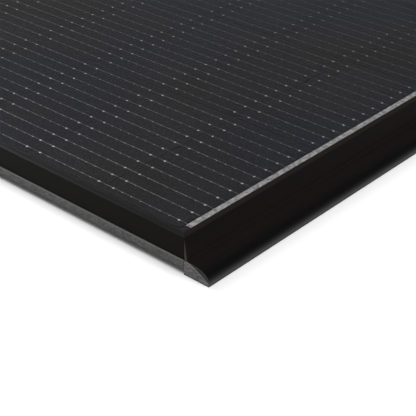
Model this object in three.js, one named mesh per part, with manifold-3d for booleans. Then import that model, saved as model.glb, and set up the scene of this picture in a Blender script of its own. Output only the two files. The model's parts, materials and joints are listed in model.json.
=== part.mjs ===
// Framed photovoltaic module, all black, with flared skirt rails on its two short sides.
// Millimetres. +X runs along the module, +Y across it, +Z up. The origin is on the ground plane
// under the middle of the module. Front is the +X end and left is the -Y side.
import * as THREE from 'three';
import { mergeVertices } from 'three/addons/utils/BufferGeometryUtils.js';
import Module from 'manifold-3d';

const wasm = await Module();
wasm.setup();

// ---------------------------------------------------------------- driving dimensions
const LENGTH = 1800; // between the two skirt rails' top outer edges
const WIDTH = 1134; // over the two side rails' outer walls
const HEIGHT = 35; // ground to the top of the lip

// aluminium rails
const WALL = 1.5;
const LIP_WIDTH = 6.5;
const LIP_THICKNESS = 1.2;
const FLANGE_WIDTH = 30;
const CHAMBER_WIDTH = 7.5;
const RAIL_DEPTH = 21.5; // top of the lip to the underside of the inner flange
const EDGE_RADIUS = 0.6;

// flared skirt on the short sides
const SKIRT_LEAN = 3; // how far the wall leans outward over the rail's depth
const SKIRT_WALL_GROWTH = 1; // extra wall at the foot of the leaning wall
const NOSE_REACH = 28; // top outer edge to the tip of the nose
const NOSE_SHOULDER = 6; // where the flat shoulder turns into the nose
const NOSE_RISE = 13.1; // ground to the flat shoulder
const NOSE_SHELL = 3; // shell of the nose at its shoulder
const NOSE_LIP = 2; // flat lip that meets the ground
const NOSE_POWER = 2.4; // roundness of the nose: 2 is an ellipse
const HOLLOW_POWER = 2;
const SHOULDER_FILLET = 2; // hollow corner between the leaning wall and the shoulder
const HEEL_OFFSET = 0.4;
const HEEL_THICKNESS = 2;

// grey base strips under the side rails, and the plates that close the skirt's ends
const STRIP_PROUD = 1.2;
const STRIP_WIDTH = 16;
const STRIP_HEIGHT = 8.1;
const STRIP_WALL = 1.8;
const STRIP_BEVEL = 0.4;
const STRIP_GAP = 0.1; // between the strip and the rail it is fixed to
const PLATE_RISE = 0.3; // top of the end plate above the flat shoulder, level with the strip
const PLATE_SHOULDER = 3; // where the plate's top turns down
const PLATE_REACH = 29.5; // where its curve would meet the ground
const PLATE_POWER = 1.4; // flatter than the nose, so the cut end of the shell shows above it
const PLATE_SETBACK = 0.2; // the plate stops this far inside the tip of the nose
const PLUG_DEPTH = 8;

// laminate, from the sun side down
const GLASS = 3.2;
const ENCAPSULANT = 0.4;
const CELL_THICKNESS = 0.25;
const BACKSHEET = 0.35;
const LAMINATE_INSET = 3; // outer wall face to the glass edge
const SHEET_STEP = 1; // each softer sheet stops this far inside the glass edge
const SEAL_CLEARANCE = 0.2; // seal to the wall and to the glass edge
const SEAL_FIT = 0.1; // seal to the lip and to the shelf

// cells and ribbons
const COLUMNS = 6;
const ROWS_PER_HALF = 9;
const CELL_WIDTH = 182;
const CELL_LENGTH = 95.8;
const STRING_GAP = 2.5;
const CELL_GAP = 1.2;
const END_MARGIN = 19.5; // top outer edge of the skirt rail to the first cell
const NECK_WIDTH = 164;
const WIRE_MARGIN = 9; // cell edge to its outermost wire
const RIBBON_WIDTH = 7.4;
const RIBBON_OFFSET = 1.7; // first cell to the cross ribbon
const RIBBON_OVERRUN = 2.6; // ribbon end beyond the outermost wire
const RIBBON_THICKNESS = 0.25;

// junction boxes behind the middle of the module
const BOX_LENGTH = 72;
const BOX_WIDTH = 52;
const BOX_DEPTH = 14;
const BOX_WALL = 2;
const LID_THICKNESS = 1.8;
const LID_RIM = 2.5;
const LEAD_WIDTH = 5;
const LEAD_THICKNESS = 0.4;
const LEAD_SPACING = 14;
const LEAD_SLOT_WIDTH = 4;
const LEAD_SLOT_MARGIN = 1; // slot end beyond a lead's edge
const TERMINAL_THICKNESS = 0.8;
const TERMINAL_LENGTH = 30;
const TERMINAL_WIDTH = 12;
const DIODE = { length: 14, width: 12, height: 4 };
const GLAND_LENGTH = 16;
const GLAND_RADIUS = 7;
const GLAND_BORE = 3.6;

// slots, holes and corner keys
const SLOT_LENGTH = 14;
const SLOT_WIDTH = 9;
const SLOT_STATIONS = [-650, -450, 450, 650];
const EARTH_HOLE_RADIUS = 2.2;
const EARTH_STATIONS = [-550, 550];
const KEY_LEG = 55;

// clearances
const GAP = 0.3; // between pieces that meet or slide together
const SHEET_GAP = 0.05; // between the laminate's flat sheets
const MITRE_GAP = 0.15; // each rail's share of the mitre joint

// how finely the curves are cut, and how far a cutting tool runs past what it cuts
const EDGE_STEPS = 4;
const FILLET_STEPS = 5;
const NOSE_STEPS = 20;
const HOLLOW_STEPS = 16;
const SLOT_STEPS = 10;
const ROUND_SIDES = 24;
const OVERRUN = 1;

// ---------------------------------------------------------------- derived heights
const halfLength = LENGTH / 2;
const halfWidth = WIDTH / 2;
const flangeBottom = HEIGHT - RAIL_DEPTH;
const flangeTop = flangeBottom + WALL;
const lipBottom = HEIGHT - LIP_THICKNESS;
const glassTop = lipBottom - GAP;
const glassBottom = glassTop - GLASS;
const frontSheetTop = glassBottom - SHEET_GAP;
const frontSheetBottom = frontSheetTop - ENCAPSULANT;
const cellTop = frontSheetBottom - SHEET_GAP;
const cellBottom = cellTop - CELL_THICKNESS;
const rearSheetTop = cellTop - Math.max(CELL_THICKNESS, RIBBON_THICKNESS) - SHEET_GAP;
const rearSheetBottom = rearSheetTop - ENCAPSULANT;
const backsheetTop = rearSheetBottom - SHEET_GAP;
const backsheetBottom = backsheetTop - BACKSHEET;
const shelfTop = backsheetBottom - GAP;
const shelfBottom = shelfTop - WALL;
const stripTop = flangeBottom - STRIP_GAP;
const stripBottom = stripTop - STRIP_HEIGHT;
const columnPitch = CELL_WIDTH + STRING_GAP;
const rowPitch = CELL_LENGTH + CELL_GAP;
const sideMargin = (WIDTH - COLUMNS * CELL_WIDTH - (COLUMNS - 1) * STRING_GAP) / 2;
const firstCellX = halfLength - END_MARGIN;
const lastCellX = firstCellX - ROWS_PER_HALF * rowPitch + CELL_GAP;
const columnY = (column) => -halfWidth + sideMargin + column * columnPitch;

// ---------------------------------------------------------------- materials
function finish(color, roughness, metalness) {
  return new THREE.MeshStandardMaterial({ color, roughness, metalness });
}

const black = () => finish(0x17171a, 0.38, 0.85);
const grey = () => finish(0x6a6c6f, 0.5, 0.8);
const tinned = () => finish(0xa9abad, 0.35, 0.9);
const plastic = () => finish(0x141414, 0.55, 0);
const sheet = (color) => finish(color, 0.6, 0);

// ---------------------------------------------------------------- helpers
function mesh(name, geometry, material) {
  const piece = new THREE.Mesh(geometry, material);
  piece.name = name;
  return piece;
}

// A block between two corners, placed by its position.
function block(name, low, high, material) {
  const size = high.map((value, axis) => value - low[axis]);
  const piece = mesh(name, new THREE.BoxGeometry(...size), material);
  piece.position.set(...high.map((value, axis) => (value + low[axis]) / 2));
  return piece;
}

function outline(points, holes = []) {
  const shape = new THREE.Shape(points.map(([x, y]) => new THREE.Vector2(x, y)));
  for (const hole of holes) shape.holes.push(new THREE.Path(hole.map(([x, y]) => new THREE.Vector2(x, y))));
  return shape;
}

const alongX = new THREE.Matrix4().makeBasis(
  new THREE.Vector3(0, 1, 0), new THREE.Vector3(0, 0, 1), new THREE.Vector3(1, 0, 0));
const alongY = new THREE.Matrix4().makeBasis(
  new THREE.Vector3(1, 0, 0), new THREE.Vector3(0, 0, 1), new THREE.Vector3(0, -1, 0));

// A section drawn as (sideways, up), carried from one station to the other along an axis.
function carried(shape, axes, from, to) {
  const geometry = new THREE.ExtrudeGeometry(shape, { depth: to - from, bevelEnabled: false });
  geometry.translate(0, 0, from);
  return geometry.applyMatrix4(axes);
}

// A plan outline drawn as (x, y), raised between two heights.
function raised(points, bottom, top, holes = []) {
  const shape = outline(points, holes);
  const geometry = new THREE.ExtrudeGeometry(shape, { depth: top - bottom, bevelEnabled: false });
  return geometry.translate(0, 0, bottom);
}

const rectangle = (x0, y0, x1, y1) => [[x0, y0], [x1, y0], [x1, y1], [x0, y1]];
const centred = (x, y) => rectangle(-x / 2, -y / 2, x / 2, y / 2);

function boxGeometry(low, high) {
  return raised(rectangle(low[0], low[1], high[0], high[1]), low[2], high[2]);
}

function solid(geometry) {
  const bare = geometry.clone();
  bare.deleteAttribute('normal');
  bare.deleteAttribute('uv');
  const merged = mergeVertices(bare, 1e-4);
  return new wasm.Manifold(new wasm.Mesh({
    numProp: 3,
    vertProperties: new Float32Array(merged.attributes.position.array),
    triVerts: new Uint32Array(merged.index.array),
  }));
}

function geometryOf(body) {
  const result = body.getMesh();
  const geometry = new THREE.BufferGeometry();
  geometry.setAttribute('position', new THREE.BufferAttribute(result.vertProperties, 3));
  geometry.setIndex(new THREE.BufferAttribute(result.triVerts, 1));
  geometry.computeVertexNormals();
  return geometry;
}

// A convex corner turned into a short arc, with its centre given and angles in degrees.
function arc(cx, cy, radius, startDeg, endDeg, steps) {
  return Array.from({ length: steps + 1 }, (_, i) => {
    const angle = THREE.MathUtils.degToRad(startDeg + (endDeg - startDeg) * i / steps);
    return [cx + radius * Math.cos(angle), cy + radius * Math.sin(angle)];
  });
}

// A full turn of points, without its last, which would meet the first.
const round = (radius, cx = 0, cy = 0) => arc(
  cx, cy, radius, 0, 360 - 360 / ROUND_SIDES, ROUND_SIDES - 1);

// One quarter of a superellipse from its top to its foot: rise * (1 - t^n)^(1/n).
function quarter(shoulder, reach, rise, power, steps) {
  return Array.from({ length: steps + 1 }, (_, i) => {
    const angle = Math.PI / 2 * i / steps;
    const across = Math.sin(angle) ** (2 / power);
    const up = i === steps ? 0 : Math.cos(angle) ** (2 / power);
    return [shoulder + (reach - shoulder) * across, rise * up];
  });
}

// ---------------------------------------------------------------- rails
const chamberInner = WALL + CHAMBER_WIDTH;
const chamberOuter = chamberInner + WALL;

// Side rail section: x is the distance inward from the outer wall.
function sideRailSection() {
  const points = [
    [0, flangeBottom], [FLANGE_WIDTH, flangeBottom], [FLANGE_WIDTH, flangeTop], [chamberOuter, flangeTop],
    [chamberOuter, shelfTop], [WALL, shelfTop], [WALL, lipBottom],
    [LIP_WIDTH, lipBottom], [LIP_WIDTH, HEIGHT],
    ...arc(EDGE_RADIUS, HEIGHT - EDGE_RADIUS, EDGE_RADIUS, 90, 180, EDGE_STEPS),
  ];
  return { body: outline(points), chamber: outline(rectangle(WALL, flangeTop, chamberInner, shelfBottom)) };
}

// Skirt rail section: x is the distance outward from the wall's top outer edge.
const drop = (z) => (HEIGHT - z) / RAIL_DEPTH;
const skirtOuter = (z) => SKIRT_LEAN * drop(z);
const skirtInner = (z) => -WALL + (SKIRT_LEAN - SKIRT_WALL_GROWTH) * drop(z);
const leanAngle = THREE.MathUtils.radToDeg(Math.atan(SKIRT_LEAN / RAIL_DEPTH));
const hollowRise = NOSE_RISE - NOSE_SHELL;
const hollowReach = NOSE_REACH - NOSE_LIP;

function skirtRailSection() {
  const root = NOSE_RISE + SHOULDER_FILLET;
  const points = [
    [-LIP_WIDTH, HEIGHT], [-LIP_WIDTH, lipBottom], [skirtInner(lipBottom), lipBottom],
    [skirtInner(shelfTop), shelfTop], [-chamberOuter, shelfTop], [-chamberOuter, flangeTop],
    [-FLANGE_WIDTH, flangeTop], [-FLANGE_WIDTH, flangeBottom], [HEEL_OFFSET, flangeBottom],
    [HEEL_OFFSET, 0], [HEEL_OFFSET + HEEL_THICKNESS, 0], [HEEL_OFFSET + HEEL_THICKNESS, hollowRise],
    ...quarter(NOSE_SHOULDER, hollowReach, hollowRise, HOLLOW_POWER, HOLLOW_STEPS),
    ...quarter(NOSE_SHOULDER, NOSE_REACH, NOSE_RISE, NOSE_POWER, NOSE_STEPS).reverse(),
    ...arc(skirtOuter(root) + SHOULDER_FILLET, root, SHOULDER_FILLET, 270, 180, FILLET_STEPS),
    ...arc(-EDGE_RADIUS, HEIGHT - EDGE_RADIUS, EDGE_RADIUS, leanAngle, 90, EDGE_STEPS),
  ];
  const chamber = [
    [skirtInner(flangeTop), flangeTop], [skirtInner(shelfBottom), shelfBottom],
    [-chamberInner, shelfBottom], [-chamberInner, flangeTop],
  ];
  return { body: outline(points), chamber: outline(chamber) };
}

// A rail is its section carried along, with the key chamber cut from end to end.
function rail(section, axes, reach) {
  const chamber = solid(carried(section.chamber, axes, -reach - OVERRUN, reach + OVERRUN));
  return solid(carried(section.body, axes, -reach, reach)).subtract(chamber);
}

// Slots and earth holes through the inner flange, midway between the chamber and its edge.
function flangeCuts() {
  const middle = -halfWidth + (chamberOuter + FLANGE_WIDTH) / 2;
  const end = SLOT_WIDTH / 2;
  const straight = SLOT_LENGTH / 2 - end;
  const low = flangeBottom - OVERRUN;
  const high = flangeTop + OVERRUN;
  const slots = SLOT_STATIONS.map((x) => raised([
    ...arc(x + straight, middle, end, -90, 90, SLOT_STEPS),
    ...arc(x - straight, middle, end, 90, 270, SLOT_STEPS),
  ], low, high));
  const holes = EARTH_STATIONS.map((x) => raised(round(EARTH_HOLE_RADIUS, x, middle), low, high));
  return [...slots, ...holes].map(solid);
}

// The mitre runs inward past the widest part of either rail.
const mitreReach = FLANGE_WIDTH + OVERRUN;

function sideRail() {
  const end = halfLength - MITRE_GAP;
  let body = rail(sideRailSection(), alongX, halfLength).translate([0, -halfWidth, 0]);
  const keep = raised([
    [-end, -halfWidth - OVERRUN], [end, -halfWidth - OVERRUN],
    [end, -halfWidth], [end - mitreReach, -halfWidth + mitreReach],
    [-end + mitreReach, -halfWidth + mitreReach], [-end, -halfWidth],
  ], 0, HEIGHT + OVERRUN);
  body = body.intersect(solid(keep));
  for (const cut of flangeCuts()) body = body.subtract(cut);
  return geometryOf(body);
}

function skirtRail() {
  const start = halfLength + MITRE_GAP;
  const tip = halfLength + NOSE_REACH + OVERRUN;
  const body = rail(skirtRailSection(), alongY, halfWidth).translate([halfLength, 0, 0]);
  const keep = raised([
    [start, -halfWidth - OVERRUN], [tip, -halfWidth - OVERRUN],
    [tip, halfWidth + OVERRUN], [start, halfWidth + OVERRUN],
    [start, halfWidth], [start - mitreReach, halfWidth - mitreReach],
    [start - mitreReach, -halfWidth + mitreReach], [start, -halfWidth],
  ], -OVERRUN, HEIGHT + OVERRUN);
  return geometryOf(body.intersect(solid(keep)));
}

// ---------------------------------------------------------------- base strips, end plates and keys
function baseStrip() {
  const inner = STRIP_WIDTH - STRIP_PROUD;
  const points = [
    [-STRIP_PROUD, stripBottom], [inner, stripBottom], [inner, stripTop],
    [-STRIP_PROUD + STRIP_BEVEL, stripTop], [-STRIP_PROUD, stripTop - STRIP_BEVEL],
  ];
  const hollow = rectangle(STRIP_WALL - STRIP_PROUD, stripBottom + STRIP_WALL, inner - STRIP_WALL,
    stripTop - STRIP_WALL);
  const end = halfLength - MITRE_GAP;
  return carried(outline(points, [hollow]), alongX, -end, end).translate(0, -halfWidth, 0);
}

// The plate covers the hollow of the nose, and its plug fits the hollow with the usual clearance.
function endPlate(side) {
  const left = HEEL_OFFSET + HEEL_THICKNESS + GAP;
  const tip = NOSE_REACH - PLATE_SETBACK;
  const slope = quarter(PLATE_SHOULDER, PLATE_REACH, NOSE_RISE + PLATE_RISE, PLATE_POWER, NOSE_STEPS);
  const beyond = slope.findIndex(([x]) => x > tip);
  const [before, after] = [slope[beyond - 1], slope[beyond]];
  const share = (tip - before[0]) / (after[0] - before[0]);
  const face = [
    [HEEL_OFFSET, 0], [HEEL_OFFSET, NOSE_RISE + PLATE_RISE], ...slope.slice(0, beyond),
    [tip, before[1] + (after[1] - before[1]) * share], [tip, 0],
  ].reverse();
  const plug = [
    [left, GAP], [left, hollowRise - GAP],
    ...quarter(NOSE_SHOULDER, hollowReach - GAP, hollowRise - GAP, HOLLOW_POWER, HOLLOW_STEPS).slice(0, -1),
    [hollowReach - GAP, GAP],
  ].reverse();
  const plate = solid(carried(outline(face), alongY, halfWidth + GAP / 2, halfWidth + STRIP_PROUD));
  const fitted = solid(carried(outline(plug), alongY, halfWidth - PLUG_DEPTH, halfWidth + GAP));
  const both = plate.add(fitted).translate([halfLength, 0, 0]);
  return geometryOf(side < 0 ? both : both.mirror([0, 1, 0]));
}

// L-shaped key in the chambers of two rails that meet.
function cornerKey(side) {
  const near = WALL + GAP;
  const far = chamberInner - GAP;
  const plan = [[near, near], [KEY_LEG, near], [KEY_LEG, far], [far, far], [far, KEY_LEG], [near, KEY_LEG]];
  const placed = plan.map(([x, y]) => [halfLength - x, side * (halfWidth - y)]);
  if (side > 0) placed.reverse();
  return raised(placed.reverse(), flangeTop + GAP, shelfBottom - GAP);
}

function edgeSeal() {
  const outer = WALL + SEAL_CLEARANCE;
  const inner = LAMINATE_INSET - SEAL_CLEARANCE;
  const plan = (inset) => centred(LENGTH - 2 * inset, WIDTH - 2 * inset);
  return raised(plan(outer), shelfTop + SEAL_FIT, lipBottom - SEAL_FIT, [plan(inner)]);
}

// ---------------------------------------------------------------- laminate
function laminateSheet(name, bottom, top, inset, material) {
  const x = halfLength - LAMINATE_INSET - inset;
  const y = halfWidth - LAMINATE_INSET - inset;
  return block(name, [-x, -y, bottom], [x, y, top], material);
}

const BOXES = [0, 1, 2];
const boxY = (box) => columnY(2 * box + 1) - STRING_GAP / 2;
const leadY = (box) => [-1, 1].map((hand) => boxY(box) + hand * LEAD_SPACING / 2);
const leadSlotLength = LEAD_SPACING + LEAD_WIDTH + 2 * LEAD_SLOT_MARGIN;

// The rear sheets are slotted where the leads pass down into each junction box.
function slottedSheet(bottom, top, inset) {
  const x = halfLength - LAMINATE_INSET - inset;
  const y = halfWidth - LAMINATE_INSET - inset;
  const half = leadSlotLength / 2;
  const slots = BOXES.map((box) => rectangle(
    -LEAD_SLOT_WIDTH / 2, boxY(box) - half, LEAD_SLOT_WIDTH / 2, boxY(box) + half));
  return raised(rectangle(-x, -y, x, y), bottom, top, slots);
}

// A string is nine half cells joined by a neck in each gap, where its wires cross.
function cellString(column, hand) {
  const y0 = columnY(column);
  const inset = (CELL_WIDTH - NECK_WIDTH) / 2;
  const lower = [];
  const upper = [];
  for (let row = 0; row < ROWS_PER_HALF; row += 1) {
    const near = lastCellX + row * rowPitch;
    const far = near + CELL_LENGTH;
    lower.push([near, y0], [far, y0]);
    upper.push([near, y0 + CELL_WIDTH], [far, y0 + CELL_WIDTH]);
    if (row < ROWS_PER_HALF - 1) {
      lower.push([far, y0 + inset], [far + CELL_GAP, y0 + inset]);
      upper.push([far, y0 + CELL_WIDTH - inset], [far + CELL_GAP, y0 + CELL_WIDTH - inset]);
    }
  }
  const points = [...lower, ...upper.reverse()].map(([x, y]) => [hand * x, y]);
  return raised(hand < 0 ? points.reverse() : points, cellBottom, cellTop);
}

const ribbonBottom = cellTop - RIBBON_THICKNESS;

function endRibbon(name, pair, hand) {
  const inner = hand * (firstCellX + RIBBON_OFFSET);
  const outer = hand * (firstCellX + RIBBON_OFFSET + RIBBON_WIDTH);
  const low = columnY(2 * pair) + WIRE_MARGIN - RIBBON_OVERRUN;
  const high = columnY(2 * pair + 1) + CELL_WIDTH - WIRE_MARGIN + RIBBON_OVERRUN;
  return block(name, [Math.min(inner, outer), low, ribbonBottom], [Math.max(inner, outer), high, cellTop],
    tinned());
}

// A middle ribbon lies between the two halves, with a lead folded down into each box it serves.
function middleRibbon(first, last, leads) {
  const low = columnY(first) + WIRE_MARGIN - RIBBON_OVERRUN;
  const high = columnY(last) + CELL_WIDTH - WIRE_MARGIN + RIBBON_OVERRUN;
  let ribbon = solid(boxGeometry([-RIBBON_WIDTH / 2, low, ribbonBottom], [RIBBON_WIDTH / 2, high, cellTop]));
  for (const y of leads) {
    ribbon = ribbon.add(solid(boxGeometry(
      [-LEAD_THICKNESS / 2, y - LEAD_WIDTH / 2, terminalTop + GAP],
      [LEAD_THICKNESS / 2, y + LEAD_WIDTH / 2, cellTop - RIBBON_THICKNESS / 2])));
  }
  return geometryOf(ribbon);
}

// ---------------------------------------------------------------- junction boxes
const boxTop = backsheetBottom - GAP;
const boxBottom = boxTop - BOX_DEPTH;
const roofBottom = boxTop - BOX_WALL;
const terminalTop = roofBottom - GAP;
const terminalBottom = terminalTop - TERMINAL_THICKNESS;
const diodeTop = terminalBottom - GAP;
const glandZ = (boxBottom + roofBottom) / 2;

const innerLength = BOX_LENGTH - 2 * BOX_WALL;
const innerWidth = BOX_WIDTH - 2 * BOX_WALL;

function boxShell(hasGland) {
  let shell = solid(raised(centred(BOX_LENGTH, BOX_WIDTH), boxBottom, boxTop));
  const room = raised(centred(innerLength, innerWidth), boxBottom - OVERRUN, roofBottom);
  shell = shell.subtract(solid(room));
  const leadSlot = raised(centred(LEAD_SLOT_WIDTH, leadSlotLength), roofBottom - OVERRUN, boxTop + OVERRUN);
  shell = shell.subtract(solid(leadSlot));
  if (hasGland) {
    const hole = carried(
      outline(round(GLAND_BORE)), alongX, innerLength / 2 - OVERRUN, BOX_LENGTH / 2 + OVERRUN);
    shell = shell.subtract(solid(hole.translate(0, 0, glandZ)));
  }
  return geometryOf(shell);
}

function boxLid() {
  const lidTop = boxBottom - GAP;
  const rim = (inset) => centred(innerLength - 2 * inset, innerWidth - 2 * inset);
  const cover = solid(raised(centred(BOX_LENGTH, BOX_WIDTH), lidTop - LID_THICKNESS, lidTop));
  const lip = solid(raised(
    rim(GAP), lidTop - LID_THICKNESS / 2, boxBottom + LID_RIM, [rim(GAP + BOX_WALL).reverse()]));
  return geometryOf(cover.add(lip));
}

function gland() {
  return carried(outline(round(GLAND_RADIUS), [round(GLAND_BORE).reverse()]), alongX, 0, GLAND_LENGTH)
    .translate(BOX_LENGTH / 2 + GAP, 0, glandZ);
}

function junctionBox(number) {
  const unit = new THREE.Group();
  unit.position.y = boxY(number - 1);
  const hasGland = number !== 2;
  unit.add(mesh(`junction_box_${number}`, boxShell(hasGland), plastic()));
  unit.add(mesh(`box_lid_${number}`, boxLid(), plastic()));
  const half = [DIODE.length / 2, DIODE.width / 2];
  unit.add(block(`bypass_diode_${number}`, [-half[0], -half[1], diodeTop - DIODE.height],
    [half[0], half[1], diodeTop], finish(0x0d0d0d, 0.4, 0)));
  for (const hand of [-1, 1]) {
    const y = hand * LEAD_SPACING / 2;
    unit.add(block(`terminal_${number}${hand < 0 ? 'a' : 'b'}`,
      [-TERMINAL_LENGTH / 2, y - TERMINAL_WIDTH / 2, terminalBottom],
      [TERMINAL_LENGTH / 2, y + TERMINAL_WIDTH / 2, terminalTop], tinned()));
  }
  if (hasGland) unit.add(mesh(`cable_gland_${number}`, gland(), plastic()));
  return unit;
}

// ---------------------------------------------------------------- assembly
const panel = new THREE.Group();

panel.add(laminateSheet('front_glass', glassBottom, glassTop, 0, finish(0xd8e0e2, 0.08, 0)));
panel.add(laminateSheet('front_encapsulant', frontSheetBottom, frontSheetTop, SHEET_STEP, sheet(0xd0d4d6)));
panel.add(mesh(
  'rear_encapsulant', slottedSheet(rearSheetBottom, rearSheetTop, SHEET_STEP), sheet(0x1a1a1c)));
panel.add(mesh('backsheet', slottedSheet(backsheetBottom, backsheetTop, SHEET_STEP), sheet(0x121214)));
panel.add(mesh('edge_seal', edgeSeal(), finish(0x0e0e0e, 0.6, 0)));

for (let column = 0; column < COLUMNS; column += 1) {
  for (const hand of [1, -1]) {
    const name = `cell_string_${hand > 0 ? 'front' : 'back'}_${column + 1}`;
    panel.add(mesh(name, cellString(column, hand), finish(0x24242a, 0.35, 0.1)));
  }
}
for (let pair = 0; pair < COLUMNS / 2; pair += 1) {
  panel.add(endRibbon(`end_ribbon_front_${pair + 1}`, pair, 1));
  panel.add(endRibbon(`end_ribbon_back_${pair + 1}`, pair, -1));
}
const middles = [
  [0, 0, [leadY(0)[0]]], [1, 2, [leadY(0)[1], leadY(1)[0]]],
  [3, 4, [leadY(1)[1], leadY(2)[0]]], [5, 5, [leadY(2)[1]]],
];
middles.forEach(([first, last, leads], index) => {
  panel.add(mesh(`middle_ribbon_${index + 1}`, middleRibbon(first, last, leads), tinned()));
});
for (const box of BOXES) panel.add(junctionBox(box + 1));

// The frame is the same when turned half a turn about the vertical.
const ENDS = [['front', 'left', 'right', 0], ['back', 'right', 'left', Math.PI]];
for (const [end, side, otherSide, turn] of ENDS) {
  const half = new THREE.Group();
  half.rotation.z = turn;
  half.add(mesh(`skirt_rail_${end}`, skirtRail(), black()));
  half.add(mesh(`side_rail_${side}`, sideRail(), black()));
  half.add(mesh(`base_strip_${side}`, baseStrip(), grey()));
  half.add(mesh(`end_plate_${end}_${side}`, endPlate(-1), grey()));
  half.add(mesh(`end_plate_${end}_${otherSide}`, endPlate(1), grey()));
  half.add(mesh(`corner_key_${end}_${side}`, cornerKey(-1), finish(0x9a9da0, 0.45, 0.9)));
  half.add(mesh(`corner_key_${end}_${otherSide}`, cornerKey(1), finish(0x9a9da0, 0.45, 0.9)));
  panel.add(half);
}

export default panel;
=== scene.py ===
# %% [markdown]
# # An all-black solar panel, close to one corner
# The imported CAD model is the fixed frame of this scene. Blender adds what a solid model leaves
# out: the cells with their round wires and solder pads, eased metal edges, and the finish of each
# surface. All sizes are in metres, and every piece's place is worked out from the frame.

# %% Load the frame
import json
import math
import bpy
import bmesh
import numpy as np
from mathutils import Matrix, Vector


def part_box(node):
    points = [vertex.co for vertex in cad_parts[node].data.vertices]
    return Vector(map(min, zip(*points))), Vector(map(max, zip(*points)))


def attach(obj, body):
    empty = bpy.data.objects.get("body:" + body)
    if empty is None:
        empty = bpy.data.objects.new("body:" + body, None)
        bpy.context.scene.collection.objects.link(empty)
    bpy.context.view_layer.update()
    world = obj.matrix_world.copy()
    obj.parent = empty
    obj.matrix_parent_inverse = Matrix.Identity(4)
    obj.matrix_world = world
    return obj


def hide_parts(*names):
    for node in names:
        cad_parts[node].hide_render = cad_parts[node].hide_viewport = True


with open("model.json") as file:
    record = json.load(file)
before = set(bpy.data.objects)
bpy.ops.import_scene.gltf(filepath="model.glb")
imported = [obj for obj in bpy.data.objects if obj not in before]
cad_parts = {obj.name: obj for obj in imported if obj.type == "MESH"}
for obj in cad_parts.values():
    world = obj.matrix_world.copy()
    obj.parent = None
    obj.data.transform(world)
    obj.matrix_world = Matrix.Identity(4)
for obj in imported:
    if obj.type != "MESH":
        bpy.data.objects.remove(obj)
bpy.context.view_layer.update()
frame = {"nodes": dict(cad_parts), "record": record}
MM = 0.001

# %% [markdown]
# ## The camera
# A studio camera for products has a long lens, which keeps the rails' edges nearly parallel. It is
# placed by where it looks, how far away it is, and two angles. A matrix made from its three axes
# turns it, which keeps the horizon level but for a small roll.

# %% Camera
AZIMUTH = math.radians(41.67)
ELEVATION = math.radians(31.35)
ROLL = math.radians(0.22)
DISTANCE = 0.9685
LENS = 98.42
CLIP_START = 0.05
AIM_FROM_CORNER = Vector((-21.97 * MM, 53.78 * MM, -3.34 * MM))


def low(name):
    """The lowest corner of a CAD node's box."""
    return Vector(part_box(name)[0])


def high(name):
    """The highest corner of a CAD node's box."""
    return Vector(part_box(name)[1])


corner = Vector((high("side_rail_left").x, low("side_rail_left").y, high("front_glass").z))
aim = corner + AIM_FROM_CORNER
back = Vector((math.sin(AZIMUTH) * math.cos(ELEVATION), -math.cos(AZIMUTH) * math.cos(ELEVATION),
               math.sin(ELEVATION)))
level = Vector((math.cos(AZIMUTH), math.sin(AZIMUTH), 0))
right = level * math.cos(ROLL) + back.cross(level) * math.sin(ROLL)
turn = Matrix((right, back.cross(right), back)).transposed().to_4x4()

camera_data = bpy.data.cameras.new("camera")
camera_data.lens = LENS
camera_data.clip_start = CLIP_START
camera = bpy.data.objects.new("camera", camera_data)
camera.matrix_world = Matrix.Translation(aim + back * DISTANCE) @ turn
bpy.context.scene.collection.objects.link(camera)
bpy.context.scene.camera = camera
print("camera at", [round(v, 3) for v in camera.matrix_world.translation])

# %% [markdown]
# ## The floor
# A pale floor runs far past the panel, so no edge of it shows.

# %% Floor
FLOOR_SIZE = 14.0
FLOOR_COLOUR = (0.88, 0.88, 0.88, 1)


def new_material(name):
    """A new material, with its node tree and its Principled shader."""
    material = bpy.data.materials.new(name)
    material.use_nodes = True
    tree = material.node_tree
    return material, tree, tree.nodes["Principled BSDF"]


def make_floor():
    half = FLOOR_SIZE / 2
    corners = [(-half, -half, 0), (half, -half, 0), (half, half, 0), (-half, half, 0)]
    mesh = bpy.data.meshes.new("floor")
    mesh.from_pydata(corners, [], [(0, 1, 2, 3)])
    floor = bpy.data.objects.new("floor", mesh)
    bpy.context.scene.collection.objects.link(floor)
    material, _, shader = new_material("pale_floor")
    shader.inputs["Base Color"].default_value = FLOOR_COLOUR
    shader.inputs["Roughness"].default_value = 0.9
    shader.inputs["Specular IOR Level"].default_value = 0.1
    mesh.materials.append(material)


make_floor()
print("floor", FLOOR_SIZE, "m wide")

# %% [markdown]
# ## The lights
# One very large soft box hangs above the near corner. A second stands off the far short side and
# throws a short shadow past the near skirt, and a pale world fills the shadows. Black things on a
# white floor are lit this way: the floor is a little overlit, so that only the shadow close to the
# panel stays grey. The Standard view transform keeps the blacks as deep as they are.

# %% Lights
def add_light(name, place, towards, size, power):
    """A square area light at a place, turned to face a point."""
    data = bpy.data.lights.new(name, "AREA")
    data.shape = "RECTANGLE"
    data.size = data.size_y = size
    data.energy = power
    lamp = bpy.data.objects.new(name, data)
    direction = Vector(towards) - Vector(place)
    lamp.rotation_euler = direction.to_track_quat("-Z", "Y").to_euler()
    lamp.location = place
    bpy.context.scene.collection.objects.link(lamp)


add_light("soft_box", place=(1.0, -0.8, 2.6), towards=(0.95, -0.6, 0), size=2.2, power=54)
add_light("left_box", place=(-1.96, -0.08, 1.93), towards=(0.7, -0.5, 0), size=1.6, power=88)
world = bpy.data.worlds.new("studio")
world.use_nodes = True
sky = world.node_tree.nodes["Background"]
sky.inputs["Color"].default_value = (1.0, 0.99, 0.985, 1)
sky.inputs["Strength"].default_value = 0.42
bpy.context.scene.world = world
bpy.context.scene.view_settings.view_transform = "Standard"
print("lights", len(bpy.data.lights))

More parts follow.
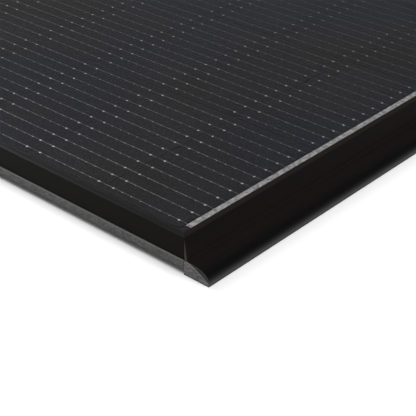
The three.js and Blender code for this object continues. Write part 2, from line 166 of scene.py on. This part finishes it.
# %% [markdown]
# ## Helpers for node trees
# A material is a tree of nodes joined by links. These helpers make a node, join two sockets, carry
# a value from one range to another and mix two colours, so that each finish below reads as a
# recipe. The Mix node shows different sockets for numbers and for colours, and Python finds the
# colour ones by their index.

# %% Helpers for node trees
FACTOR, COLOUR_A, COLOUR_B, COLOUR_OUT = 0, 6, 7, 2


def node(tree, kind, **values):
    """A new node; a value goes to the node's own setting, or else to the input of that name."""
    made = tree.nodes.new(kind)
    for key, value in values.items():
        if hasattr(made, key):
            setattr(made, key, value)
        else:
            made.inputs[key.replace("_", " ")].default_value = value
    return made


def link(tree, source, target):
    tree.links.new(source, target)


def ramp(tree, source, low_in, high_in, low_out, high_out):
    """A value carried from one range to another in a straight line, and held at the ends."""
    made = node(tree, "ShaderNodeMapRange", From_Min=low_in, From_Max=high_in,
                To_Min=low_out, To_Max=high_out)
    link(tree, source, made.inputs["Value"])
    return made.outputs["Result"]


def math_of(tree, operation, first, second):
    """Two values added or multiplied."""
    made = node(tree, "ShaderNodeMath", operation=operation)
    link(tree, first, made.inputs[0])
    link(tree, second, made.inputs[1])
    return made.outputs[0]


def mix_colours(tree, share, first, second, **settings):
    """The share picks between two colours; a colour is three numbers or another node's output."""
    made = node(tree, "ShaderNodeMix", data_type="RGBA", **settings)
    for socket, colour in ((COLOUR_A, first), (COLOUR_B, second)):
        if isinstance(colour, tuple):
            made.inputs[socket].default_value = (*colour, 1)
        else:
            link(tree, colour, made.inputs[socket])
    if isinstance(share, float):
        made.inputs[FACTOR].default_value = share
    else:
        link(tree, share, made.inputs[FACTOR])
    return made.outputs[COLOUR_OUT]


print("helpers for", bpy.app.version_string)

# %% [markdown]
# ## Node groups
# Two effects are used by more than one finish: a fine grain that breaks up gloss, and a little
# dust. Each is a node group, built once, which puts out plain values. Stretching the grain's
# coordinates turns specks into streaks, such as an extruded rail has along its length.

# %% Fine grain
FLOAT, VECTOR = "NodeSocketFloat", "NodeSocketVector"
BUMP_DISTANCE = 0.2 * MM


def new_group(name, inputs, outputs):
    """An empty group with its named sockets, and the nodes that stand for them inside."""
    group = bpy.data.node_groups.new(name, "ShaderNodeTree")
    for label, kind, value in inputs:
        socket = group.interface.new_socket(label, in_out="INPUT", socket_type=kind)
        socket.default_value = value
    for label, kind in outputs:
        group.interface.new_socket(label, in_out="OUTPUT", socket_type=kind)
    return group, group.nodes.new("NodeGroupInput"), group.nodes.new("NodeGroupOutput")


def grain_group():
    """Noise at a chosen scale, put out as a value and as a bumped normal."""
    inputs = [("Scale", FLOAT, 900.0), ("Depth", FLOAT, 0.1), ("Stretch", VECTOR, (1, 1, 1))]
    tree, given, put = new_group("fine_grain", inputs, [("Value", FLOAT), ("Normal", VECTOR)])
    place = node(tree, "ShaderNodeTexCoord")
    stretch = node(tree, "ShaderNodeVectorMath", operation="MULTIPLY")
    noise = node(tree, "ShaderNodeTexNoise", Detail=3.0, Roughness=0.6)
    bump = node(tree, "ShaderNodeBump", Distance=BUMP_DISTANCE)
    link(tree, place.outputs["Object"], stretch.inputs[0])
    link(tree, given.outputs["Stretch"], stretch.inputs[1])
    link(tree, stretch.outputs[0], noise.inputs["Vector"])
    link(tree, given.outputs["Scale"], noise.inputs["Scale"])
    link(tree, noise.outputs["Fac"], bump.inputs["Height"])
    link(tree, given.outputs["Depth"], bump.inputs["Strength"])
    link(tree, noise.outputs["Fac"], put.inputs["Value"])
    link(tree, bump.outputs["Normal"], put.inputs["Normal"])
    return tree


GRAIN = grain_group()


def add_grain(tree, scale, **values):
    """The grain group placed in a material, with that material's own values."""
    made = tree.nodes.new("ShaderNodeGroup")
    made.node_tree = GRAIN
    made.inputs["Scale"].default_value = scale
    for label, value in values.items():
        made.inputs[label].default_value = value
    return made


print("group", GRAIN.name)

# %% [markdown]
# Dust never lies evenly. It gathers in broad patches, and inside a patch it is a scatter of fine
# specks, so two noises of very different scales are multiplied.

# %% Dust
def dust_group():
    """Broad patches times fine specks: a mask that is mostly 0, with specks where dust lies."""
    tree, given, put = new_group("dust", [("Amount", FLOAT, 0.3)], [("Mask", FLOAT)])
    place = node(tree, "ShaderNodeTexCoord")
    patches = node(tree, "ShaderNodeTexNoise", Scale=9.0, Detail=3.0)
    specks = node(tree, "ShaderNodeTexNoise", Scale=420.0, Detail=2.0)
    link(tree, place.outputs["Object"], patches.inputs["Vector"])
    link(tree, place.outputs["Object"], specks.inputs["Vector"])
    both = math_of(tree, "MULTIPLY", ramp(tree, patches.outputs["Fac"], 0.4, 0.7, 0.15, 1.0),
                   ramp(tree, specks.outputs["Fac"], 0.6, 0.78, 0.0, 1.0))
    link(tree, math_of(tree, "MULTIPLY", both, given.outputs["Amount"]), put.inputs["Mask"])
    return tree


DUST = dust_group()
print("group", DUST.name)

# %% [markdown]
# ## Finishes
# Each finish is one Principled shader. What is even over a surface is set on the shader's own
# socket, and what varies comes from the groups. The first function gives a surface its gloss, which
# every material here needs. The second adds a colour that varies with the same grain, and dust.

# %% Gloss and tone from the grain
DUST_COLOUR = (0.3, 0.3, 0.3)
GRAIN_RANGE = (0.3, 0.7)


def grained(name, roughness, rough_spread, scale, depth, stretch=(1, 1, 1), metallic=0.0,
            specular=0.5):
    """Roughness moves between two values with the grain, and the grain bumps the normal."""
    material, tree, shader = new_material(name)
    shader.inputs["Metallic"].default_value = metallic
    shader.inputs["Specular IOR Level"].default_value = specular
    grain = add_grain(tree, scale, Depth=depth, Stretch=stretch)
    gloss = ramp(tree, grain.outputs["Value"], *GRAIN_RANGE,
                 roughness - rough_spread, roughness + rough_spread)
    link(tree, gloss, shader.inputs["Roughness"])
    link(tree, grain.outputs["Normal"], shader.inputs["Normal"])
    return material, tree, shader, grain.outputs["Value"]


def finish(name, tone, spread, dust=0.0, half_range=0.2, **surface):
    """The grain picks between a darker and a lighter tone, and a little dust may lie over them."""
    material, tree, shader, grain = grained(name, **surface)
    colour = mix_colours(
        tree, ramp(tree, grain, 0.5 - half_range, 0.5 + half_range, 0, 1),
        tuple(c * (1 - spread) for c in tone), tuple(c * (1 + spread) for c in tone))
    if dust:
        speck = tree.nodes.new("ShaderNodeGroup")
        speck.node_tree = DUST
        speck.inputs["Amount"].default_value = dust
        colour = mix_colours(tree, speck.outputs["Mask"], colour, DUST_COLOUR)
    link(tree, colour, shader.inputs["Base Color"])
    return material


print("gloss follows the grain's values from", *GRAIN_RANGE)

# %% [markdown]
# Anodising leaves the fine streaks of the extruder's die, so the grain of a long rail is stretched
# along X and that of a short rail along Y. The grey strips and end plates are patchier: their oxide
# is thin, and ground dust sticks to it. The ribbons are copper dipped in tin.

# %% Metal finishes
ALONG_X = (0.03, 1, 1)
ALONG_Y = (1, 0.03, 1)
black_side = finish("black_anodised_side", (0.0024, 0.0020, 0.0014), spread=0.25,
                    roughness=0.34, rough_spread=0.06, scale=900, depth=0.06, stretch=ALONG_X,
                    specular=0.03, dust=0.01)
black_skirt = finish("black_anodised_skirt", (0.0040, 0.0037, 0.0037), spread=0.2,
                     roughness=0.34, rough_spread=0.05, scale=900, depth=0.05, stretch=ALONG_Y,
                     specular=0.015, dust=0.01)
grey_strip = finish("grey_anodised", (0.0515, 0.052, 0.051), spread=0.85, roughness=0.45,
                    rough_spread=0.08, scale=1300, depth=0.35, stretch=(0.3, 1, 1.1),
                    specular=0.3, dust=0.05, half_range=0.08)
end_plate = finish("grey_end_plate", (0.085, 0.0855, 0.085), spread=0.5, roughness=0.45,
                   rough_spread=0.08, scale=700, depth=0.35, stretch=(0.3, 1, 1),
                   specular=0.3, dust=0.05, half_range=0.1)
mill_metal = finish("mill_aluminium", (0.5, 0.51, 0.52), spread=0.1, roughness=0.42,
                    rough_spread=0.1, scale=800, depth=0.2, metallic=1.0)
tinned = finish("tinned_copper", (0.29, 0.294, 0.294), spread=0.5, roughness=0.42,
                rough_spread=0.1, scale=420, depth=0.3, metallic=0.5, half_range=0.12)
print("metal finishes", [m.name for m in (black_side, black_skirt, grey_strip, end_plate,
                                          mill_metal, tinned)])

# %% [markdown]
# Behind the cells lie a dark rear film and, seen as the black margin around them, the film that
# the cells are bedded in. The boxes are moulded in black plastic with a fine grain from the mould,
# and the laminate is held in the rails by silicone, which is duller than either.

# %% Plastic and rubber finishes
moulded = finish("moulded_black", (0.014, 0.014, 0.014), spread=0.2, roughness=0.5,
                 rough_spread=0.08, scale=1200, depth=0.25, dust=0.04)
silicone = finish("silicone", (0.012, 0.012, 0.012), spread=0.15, roughness=0.6,
                  rough_spread=0.05, scale=300, depth=0.15)
rear_film = finish("rear_film", (0.014, 0.014, 0.015), spread=0.15, roughness=0.55,
                   rough_spread=0.05, scale=250, depth=0.1)
margin_film = finish("margin_film", (0.0072, 0.0072, 0.0078), spread=0.1, roughness=0.5,
                     rough_spread=0.05, scale=250, depth=0.1, specular=0.1)
print("plastic finishes", [m.name for m in (moulded, silicone, rear_film, margin_film)])

# %% [markdown]
# ## Painted light and sawn metal on the frame
# The frame's colour isn't even, and much of that is painted light. A pale band along the skirt's
# foot is a painted reflection of the floor, and its sawn ends show a greyer metal than the anodised
# face. Above its shoulder the wall is lightened to a warm black, most just over the hollow corner
# and less upwards: painted light that fills the shade there. The top edges of the long rails, the
# skirt and the grey strips are lightened too, as painted highlights, and the strips are darkened at
# their foot, a painted shade near the ground. The end plates turn darker towards the ground. Each
# is a mask made from the height or from the place across, which mixes another colour over the base.

# %% Colour and painted light along a curve
def colour_and_light_band(material, axis, points, colour):
    """Mixes a colour over the base colour by a curve along one axis: (place in mm, strength)."""
    tree = material.node_tree
    shader = tree.nodes["Principled BSDF"]
    place = node(tree, "ShaderNodeTexCoord")
    split = node(tree, "ShaderNodeSeparateXYZ")
    link(tree, place.outputs["Object"], split.inputs[0])
    value = split.outputs[axis]
    if axis == "Y":
        size = node(tree, "ShaderNodeMath", operation="ABSOLUTE")
        link(tree, value, size.inputs[0])
        value = size.outputs[0]
    first, last = points[0][0] * MM, points[-1][0] * MM
    curve = node(tree, "ShaderNodeValToRGB")
    while len(curve.color_ramp.elements) < len(points):
        curve.color_ramp.elements.new(0.5)
    for element, (mm, strength) in zip(curve.color_ramp.elements, points):
        element.position = (mm * MM - first) / (last - first)
        element.color = (strength, strength, strength, 1)
    link(tree, ramp(tree, value, first, last, 0, 1), curve.inputs[0])
    before = shader.inputs["Base Color"].links[0].from_socket
    banded = mix_colours(tree, curve.outputs["Color"], before, colour)
    link(tree, banded, shader.inputs["Base Color"])


print("wear function ready")

# %% Painted light, sawn ends and darker feet
# PALE is the sawn ends' own grey and also a painted reflection on the skirt's foot. WARM, RAIL_EDGE
# and STRIP_EDGE are painted light. The darker grey after them darkens the feet of the strips and
# end plates; on the strips that is painted shade.
PALE = (0.085, 0.086, 0.086)
WARM = (0.02, 0.0148, 0.0143)
RAIL_EDGE = (0.014, 0.014, 0.0145)
STRIP_EDGE = (0.13, 0.13, 0.13)
FOOT_DARK = (0.016, 0.016, 0.016)
# The skirt's wall: painted light, most just above the shoulder, that fills the shade of the hollow
# corner and fades upwards; the last step is a painted highlight on the top edge.
SKIRT_WALL = [(8, 0), (10.5, 0.07), (12.4, 0.2), (13.1, 0.36), (13.7, 0.54), (14.8, 0.7),
              (18, 0.66), (22, 0.43), (27, 0.24), (34.2, 0.14), (34.8, 0.4)]
# The skirt's foot: a pale band that is a painted reflection of the floor.
SKIRT_FOOT = [(0, 0.35), (0.8, 0.7), (1.6, 0.92), (2.6, 0.8), (3.8, 0.48), (5.2, 0.2),
              (6.8, 0.05), (8.5, 0)]
SAWN_END = [(566.85, 0), (566.95, 0.5)]
# The long rails' top edge: a painted highlight.
RAIL_TOP = [(34.2, 0), (34.8, 0.5)]
# The grey strip's top edge: a painted highlight where the ledge catches the light.
STRIP_TOP = [(12.2, 0), (12.9, 0.6), (13.4, 0.9)]
# The grey strip's foot: painted shade, darkest near the ground.
STRIP_FOOT = [(5.3, 0.8), (6.1, 0.5), (7.2, 0)]
# The end plates' foot: darker towards the ground.
PLATE_FOOT = [(0, 0.85), (0.8, 0.6), (1.8, 0)]
colour_and_light_band(black_skirt, "Z", SKIRT_WALL, WARM)
colour_and_light_band(black_skirt, "Z", SKIRT_FOOT, PALE)
colour_and_light_band(black_skirt, "Y", SAWN_END, PALE)
colour_and_light_band(black_side, "Z", RAIL_TOP, RAIL_EDGE)
colour_and_light_band(grey_strip, "Z", STRIP_TOP, STRIP_EDGE)
colour_and_light_band(grey_strip, "Z", STRIP_FOOT, FOOT_DARK)
colour_and_light_band(end_plate, "Z", PLATE_FOOT, FOOT_DARK)
print("worn finishes", [m.name for m in (black_skirt, black_side, grey_strip, end_plate)])

# %% [markdown]
# ## Glass
# The glass of an all-black panel is rolled with a fine matt texture, which takes the mirror out of
# it. What is left is a thin veil over the cells, so a mostly clear sheet with a rough, weak gloss
# stands for it. That is calmer to render than bending light through three thin layers.

# %% Glass and clear film
def clear_sheet(name, tint, alpha, **surface):
    """A nearly clear sheet whose gloss follows the grain."""
    material, _, shader, _ = grained(name, rough_spread=0.05, scale=600, depth=0.05, **surface)
    shader.inputs["Base Color"].default_value = (*tint, 1)
    shader.inputs["Alpha"].default_value = alpha
    return material


glass = clear_sheet("front_glass_matt", (0.015, 0.015, 0.017), alpha=0.035, roughness=0.3,
                    specular=0.15)
clear_film = clear_sheet("clear_film", (0.015, 0.015, 0.015), alpha=0.01, roughness=0.4,
                         specular=0.1)
print("clear sheets", glass.name, clear_film.name)

# %% [markdown]
# ## Dressing the CAD nodes
# Each CAD node has a slot that says what it is made of, so one table turns slots into finishes, and
# no node is left plain. The cell slot gets the moulded black here only as a stand-in, because the
# cell strings are replaced by plates further down.

# %% Finishes for the CAD nodes
FINISH_OF_SLOT = {
    "tempered_glass": glass, "clear_encapsulant": clear_film, "rear_encapsulant": margin_film,
    "backsheet": rear_film, "seal": silicone, "cell": moulded, "ribbon": tinned,
    "black_anodised": black_side, "grey_anodised": grey_strip, "corner_key": mill_metal,
    "box_plastic": moulded, "lid_plastic": moulded, "gland_plastic": moulded, "diode": moulded,
    "terminal": tinned,
}
slot_of = {row["node"]: row["material_slot"] for row in frame["record"]["subparts"]}
for name, shown in frame["nodes"].items():
    for place in shown.material_slots:
        place.material = FINISH_OF_SLOT[slot_of[name]]
print("dressed", len(slot_of), "nodes")

# %% [markdown]
# ## Metal parts with eased edges
# An extruded or moulded edge is never perfectly sharp: it catches a thin line of light. The CAD
# solids have sharp edges, so each visible one is copied, its loose triangles are merged, and a
# narrow bevel rounds it. Thin plates and strips get a finer bevel than the rails.

# %% Eased copies of the CAD solids
SHARP_ANGLE = math.radians(28)
FLAT_ANGLE = math.radians(0.5)
MERGE_DISTANCE = 1e-6
BEVEL_SEGMENTS = 2


def dress(target, material):
    target.data.materials.clear()
    target.data.materials.append(material)


def eased(name, width, material):
    """A merged copy of a CAD node with its edges beveled, which stands for the node."""
    mesh = frame["nodes"][name].data.copy()
    work = bmesh.new()
    work.from_mesh(mesh)
    bmesh.ops.remove_doubles(work, verts=work.verts, dist=MERGE_DISTANCE)
    bmesh.ops.dissolve_limit(work, angle_limit=FLAT_ANGLE, verts=work.verts, edges=work.edges)
    work.to_mesh(mesh)
    work.free()
    mesh.shade_smooth()
    mesh.set_sharp_from_angle(angle=SHARP_ANGLE)
    piece = bpy.data.objects.new(name + "_eased", mesh)
    bpy.context.scene.collection.objects.link(piece)
    dress(piece, material)
    bevel = piece.modifiers.new("eased", "BEVEL")
    bevel.width = width
    bevel.segments = BEVEL_SEGMENTS
    bevel.limit_method = "ANGLE"
    bevel.angle_limit = SHARP_ANGLE
    bevel.harden_normals = True
    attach(piece, "root")
    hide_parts(name)


print("bevels of", BEVEL_SEGMENTS, "segments")

# %% Rails, strips, end plates and boxes
RAIL_BEVEL = 0.25 * MM
PLATE_BEVEL = 0.1 * MM
BOX_BEVEL = 0.5 * MM
LID_BEVEL = 0.6 * MM
for side in ("left", "right"):
    eased(f"side_rail_{side}", RAIL_BEVEL, black_side)
    eased(f"base_strip_{side}", PLATE_BEVEL, grey_strip)
for end in ("front", "back"):
    eased(f"skirt_rail_{end}", RAIL_BEVEL, black_skirt)
    for side in ("left", "right"):
        eased(f"end_plate_{end}_{side}", PLATE_BEVEL, end_plate)
for box in (1, 2, 3):
    eased(f"junction_box_{box}", BOX_BEVEL, moulded)
    eased(f"box_lid_{box}", LID_BEVEL, moulded)

# %% [markdown]
# ## Cells
# A half cell is a thin wafer with slightly cut corners. Nine lie in a row in each string, with a
# narrow gap between them that shows the dark film behind. They are worked out as one array per
# string, and each plate's corners carry a tone of their own, because no two wafers are quite alike.

# %% Cell sizes and helpers
ROWS = 9
CELL_GAP = 1.7 * MM
CORNER_CUT = 1.0 * MM
rng = np.random.default_rng(7)


def string_grid(name):
    """Lowest X of each half cell, its length, the string's lowest Y and width, bottom and top."""
    a, b = low(name), high(name)
    pitch = (b.x - a.x + CELL_GAP) / ROWS
    starts = a.x + pitch * np.arange(ROWS)
    return starts, pitch - CELL_GAP, a.y, b.y - a.y, a.z, b.z


def stacked_faces(pattern, step, count):
    """The same face pattern repeated for each copy, its indices raised by step each time."""
    base = np.asarray(pattern)
    raised = base[None] + step * np.arange(count)[:, None, None]
    return raised.reshape(-1, base.shape[1]).tolist()


def add_piece(name, points, faces, material, tones):
    """A mesh from whole arrays, with a tone at every point, which rides on the panel's body."""
    mesh = bpy.data.meshes.new(name)
    mesh.from_pydata(points.reshape(-1, 3).tolist(), [], faces)
    mesh.validate()
    piece = bpy.data.objects.new(name, mesh)
    bpy.context.scene.collection.objects.link(piece)
    dress(piece, material)
    mesh.attributes.new("tone", "FLOAT", "POINT").data.foreach_set("value", tones)
    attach(piece, "root")
    return piece


strings = [f"cell_string_{half}_{column}" for half in ("front", "back") for column in range(1, 7)]
print("strings", len(strings), "half cells", ROWS * len(strings))

# %% [markdown]
# The wafer looks blue-black. Its colour is picked between two near blacks by the plate's tone,
# then multiplied by a fine mottle. Broad patches drift a little warmer or bluer, as they do where
# the coating's thickness changes. Its specular level is very low, because the glass above it
# already adds a sheen.

# %% Cell finish
WAFER_DARK = (0.0141, 0.0145, 0.0176)
WAFER_LIGHT = (0.0179, 0.0184, 0.0222)
WAFER_GRAIN_SCALE = 480
MOTTLE_RANGE = (0.36, 0.64)
MOTTLE = (0.68, 1.32)
DRIFT_RANGE = (0.35, 0.65)
DRIFT_OF_CHANNEL = (0.1, 0.0, -0.12)
WAFER_ROUGHNESS = (0.3, 0.4)


def tone_attribute(tree):
    """The tone that a mesh carries at its points."""
    made = node(tree, "ShaderNodeAttribute", attribute_name="tone")
    return made.outputs["Fac"]


def cell_material():
    """Dark blue-black wafer: tone by cell, a fine mottle, broad patches of colour, a low gloss."""
    material, tree, shader = new_material("cell_face")
    base = mix_colours(tree, tone_attribute(tree), WAFER_DARK, WAFER_LIGHT)
    grain = add_grain(tree, WAFER_GRAIN_SCALE).outputs["Value"]
    place = node(tree, "ShaderNodeTexCoord")
    patches = node(tree, "ShaderNodeTexNoise", Scale=3.5, Detail=2.0)
    link(tree, place.outputs["Object"], patches.inputs["Vector"])
    shade = node(tree, "ShaderNodeCombineColor")
    for channel, drift in enumerate(DRIFT_OF_CHANNEL):
        level = math_of(tree, "ADD", ramp(tree, grain, *MOTTLE_RANGE, *MOTTLE),
                        ramp(tree, patches.outputs["Fac"], *DRIFT_RANGE, -drift, drift))
        link(tree, level, shade.inputs[channel])
    mottled = mix_colours(tree, 1.0, base, shade.outputs[0], blend_type="MULTIPLY")
    link(tree, mottled, shader.inputs["Base Color"])
    link(tree, ramp(tree, grain, *GRAIN_RANGE, *WAFER_ROUGHNESS), shader.inputs["Roughness"])
    shader.inputs["Specular IOR Level"].default_value = 0.02
    return material


cell_face = cell_material()
print("finish", cell_face.name)

# %% [markdown]
# A CAD string is one long strip of nine cells, which leaves the gaps out. The plates that stand
# for it fill the same space. An octagon at the bottom and one at the top make a plate, and all nine
# come from one small array of corners, added to each plate's start.

# %% Cell plates
CORNERS = 8
PLATE_TONE, PLATE_SPREAD = 0.5, 0.16


def cell_plates(name):
    """Each plate is an octagon, the rectangle with cut corners, at its bottom and at its top."""
    starts, length, y0, width, bottom, top = string_grid(name)
    c = CORNER_CUT
    octagon_x = np.array([c, length - c, length, length, length - c, c, 0, 0])
    octagon_y = np.array([0, 0, c, width - c, width, width, width - c, c])
    points = np.zeros((ROWS, 2, CORNERS, 3))
    points[..., 0] = starts[:, None, None] + octagon_x
    points[..., 1] = y0 + octagon_y
    points[:, 0, :, 2] = bottom
    points[:, 1, :, 2] = top
    step = 2 * CORNERS
    ring = np.arange(CORNERS)
    following = (ring + 1) % CORNERS
    sides = np.stack([ring, following, following + CORNERS, ring + CORNERS], axis=1)
    faces = stacked_faces(sides, step, ROWS)
    faces += stacked_faces([ring + CORNERS], step, ROWS)
    faces += stacked_faces([ring[::-1]], step, ROWS)
    tones = np.repeat(rng.normal(PLATE_TONE, PLATE_SPREAD, ROWS).clip(0, 1), step)
    piece = add_piece("plates_" + name, points, faces, cell_face, tones)
    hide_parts(name)


for name in strings:
    cell_plates(name)
print("plates", ROWS * len(strings))

# %% [markdown]
# ## Tin and solder
# Eleven round wires run along every string, soldered to the cells by small pads. Tin dulls
# unevenly, so each wire has its own tone and is patchy along its length. On top of that, both
# metals are painted brighter near the long edges, fading towards the middle: a painted highlight
# for the glint they catch there. A tone attribute on the mesh holds both, and one function makes
# both finishes from it.

# %% Finishes that follow the tone
PATCH_SCALE = 260
PATCH_RANGE = (0.35, 0.65)


def toned_metal(name, dark, light, patchy, **surface):
    """The tone, made patchy along the metal by a coarse grain, picks between two colours."""
    material, tree, shader, _ = grained(name, **surface)
    coarse = add_grain(tree, PATCH_SCALE).outputs["Value"]
    patches = ramp(tree, coarse, *PATCH_RANGE, 1 - patchy, 1 + patchy)
    share = math_of(tree, "MULTIPLY", tone_attribute(tree), patches)
    link(tree, mix_colours(tree, share, dark, light), shader.inputs["Base Color"])
    return material


round_wire = toned_metal("round_wire", (0.02, 0.02, 0.022), (0.30, 0.30, 0.305), patchy=0.8,
                         roughness=0.42, rough_spread=0.1, scale=500, depth=0.2, metallic=0.4)
solder = toned_metal("solder", (0.01, 0.01, 0.01), (0.75, 0.75, 0.74), patchy=0.15,
                     roughness=0.35, rough_spread=0.1, scale=900, depth=0.3, metallic=0.3)
print("finishes", round_wire.name, solder.name)

# %% [markdown]
# ## Wires
# Each wire is a six-sided tube carried along the string. It lies on the cells, dips where it
# crosses a gap, and ends on the cross ribbons. A real one is round, but it is so thin that nobody
# sees the sides, and six of them keep the mesh light.

# %% Wires
WIRES = 11
WIRE_MARGIN = 9.0 * MM
WIRE_RADIUS = 0.19 * MM
WIRE_SIDES = 6
WIRE_RISE = 1.2 * MM
WIRE_TONES = (0.4, 0.76)
DIP, LIE = -0.5, 0.9


def wire_offsets(y0, width):
    """The wires' places across a string, and how far each is from the panel's middle: 0 to 1."""
    places = y0 + WIRE_MARGIN + (width - 2 * WIRE_MARGIN) * np.arange(WIRES) / (WIRES - 1)
    return places, np.abs(places) / high("side_rail_right").y


def wires(name, near, far):
    """Tube of six sides: x along the string, y and z from the radius times cosine and sine.

    Its tone falls from the long edges to the middle as 0.18 + 0.82 * across cubed, a painted
    highlight for the glint of the wires near the edges.
    """
    starts, length, y0, width, _, top = string_grid(name)
    bends = np.array([0.0, WIRE_RISE, length - WIRE_RISE, length])
    stations = np.concatenate([[near], (starts[:, None] + bends).ravel(), [far]])
    heights = np.tile([DIP, LIE, LIE, DIP], ROWS) * WIRE_RADIUS + top
    heights = np.concatenate([[top + WIRE_RADIUS], heights, [top + WIRE_RADIUS]])
    angle = 2 * np.pi * np.arange(WIRE_SIDES) / WIRE_SIDES
    places, across = wire_offsets(y0, width)
    points = np.zeros((WIRES, len(stations), WIRE_SIDES, 3))
    points[..., 0] = stations[None, :, None]
    points[..., 1] = places[:, None, None] + WIRE_RADIUS * np.cos(angle)
    points[..., 2] = heights[None, :, None] + WIRE_RADIUS * np.sin(angle)
    ring = np.arange(WIRE_SIDES)
    following = (ring + 1) % WIRE_SIDES
    band = np.stack([ring, following, following + WIRE_SIDES, ring + WIRE_SIDES], axis=1)
    step = WIRE_SIDES * len(stations)
    along = stacked_faces(band, WIRE_SIDES, len(stations) - 1)
    faces = stacked_faces(along, step, WIRES)
    faces += stacked_faces([ring[::-1]], step, WIRES)
    faces += stacked_faces([ring + step - WIRE_SIDES], step, WIRES)
    # The fall with across is a painted highlight; the random factor is each wire's own tone.
    tones = np.repeat(rng.uniform(*WIRE_TONES, WIRES) * (0.18 + 0.82 * across ** 3), step)
    add_piece("wires_" + name, points, faces, round_wire, tones)


print("wires to a string", WIRES)

# %% [markdown]
# ## Solder pads
# Thousands of pads repeat one small tapered block. They are placed by adding its eight corners to
# a grid of centres, so that no loop runs over vertices. The first and last pad of each half cell
# are bigger, because they hold the wire where it bends.

# %% Solder pads
PADS = 8
PAD_MARGIN = 8.3 * MM
PAD_HALF_LENGTH = 0.55 * MM
PAD_HALF_WIDTH = 0.45 * MM
PAD_HEIGHT = 0.2 * MM
PAD_TAPER = 0.7
END_PAD_SCALE = 1.95


def pads(name):
    """A block tapered to its top: eight corners added to every pad's centre, scaled by its size.

    Its tone falls from the long edges to the middle as 0.32 + 0.62 * across, a painted
    highlight for the glint of the pads near the edges.
    """
    starts, length, y0, width, _, top = string_grid(name)
    inner = PAD_MARGIN + (length - 2 * PAD_MARGIN) * np.arange(PADS) / (PADS - 1)
    size = np.full(PADS, 1.0)
    size[[0, -1]] = END_PAD_SCALE
    places, across = wire_offsets(y0, width)
    cx, cy = np.meshgrid((starts[:, None] + inner).ravel(), places, indexing="ij")
    scale = np.broadcast_to(np.tile(size, ROWS)[:, None], cx.shape)
    foot = np.array([[-1, -1, 0], [1, -1, 0], [1, 1, 0], [-1, 1, 0]])
    foot = foot * [PAD_HALF_LENGTH, PAD_HALF_WIDTH, 0]
    block = np.concatenate([foot, foot * PAD_TAPER + [0, 0, PAD_HEIGHT]])
    grown = block * np.stack([scale, scale, np.ones_like(scale)], axis=-1)[:, :, None]
    centre = np.stack([cx, cy, np.full_like(cx, top)], axis=-1)
    points = (centre[:, :, None] + grown).reshape(-1, len(block), 3)
    pattern = [[0, 1, 5, 4], [1, 2, 6, 5], [2, 3, 7, 6], [3, 0, 4, 7], [4, 5, 6, 7], [3, 2, 1, 0]]
    faces = stacked_faces(pattern, len(block), len(points))
    # The fall with across is a painted highlight.
    tones = np.repeat(np.broadcast_to(0.32 + 0.62 * across, cx.shape).ravel(), len(block))
    add_piece("pads_" + name, points, faces, solder, tones)


def ribbon_middle(half):
    ribbon = f"end_ribbon_{half}_1"
    return (low(ribbon).x + high(ribbon).x) / 2


for name in strings:
    half = "front" if "front" in name else "back"
    near, far = sorted([0.0, ribbon_middle(half)])
    wires(name, near, far)
    pads(name)
print("wires", WIRES * len(strings), "pads", WIRES * PADS * ROWS * len(strings))
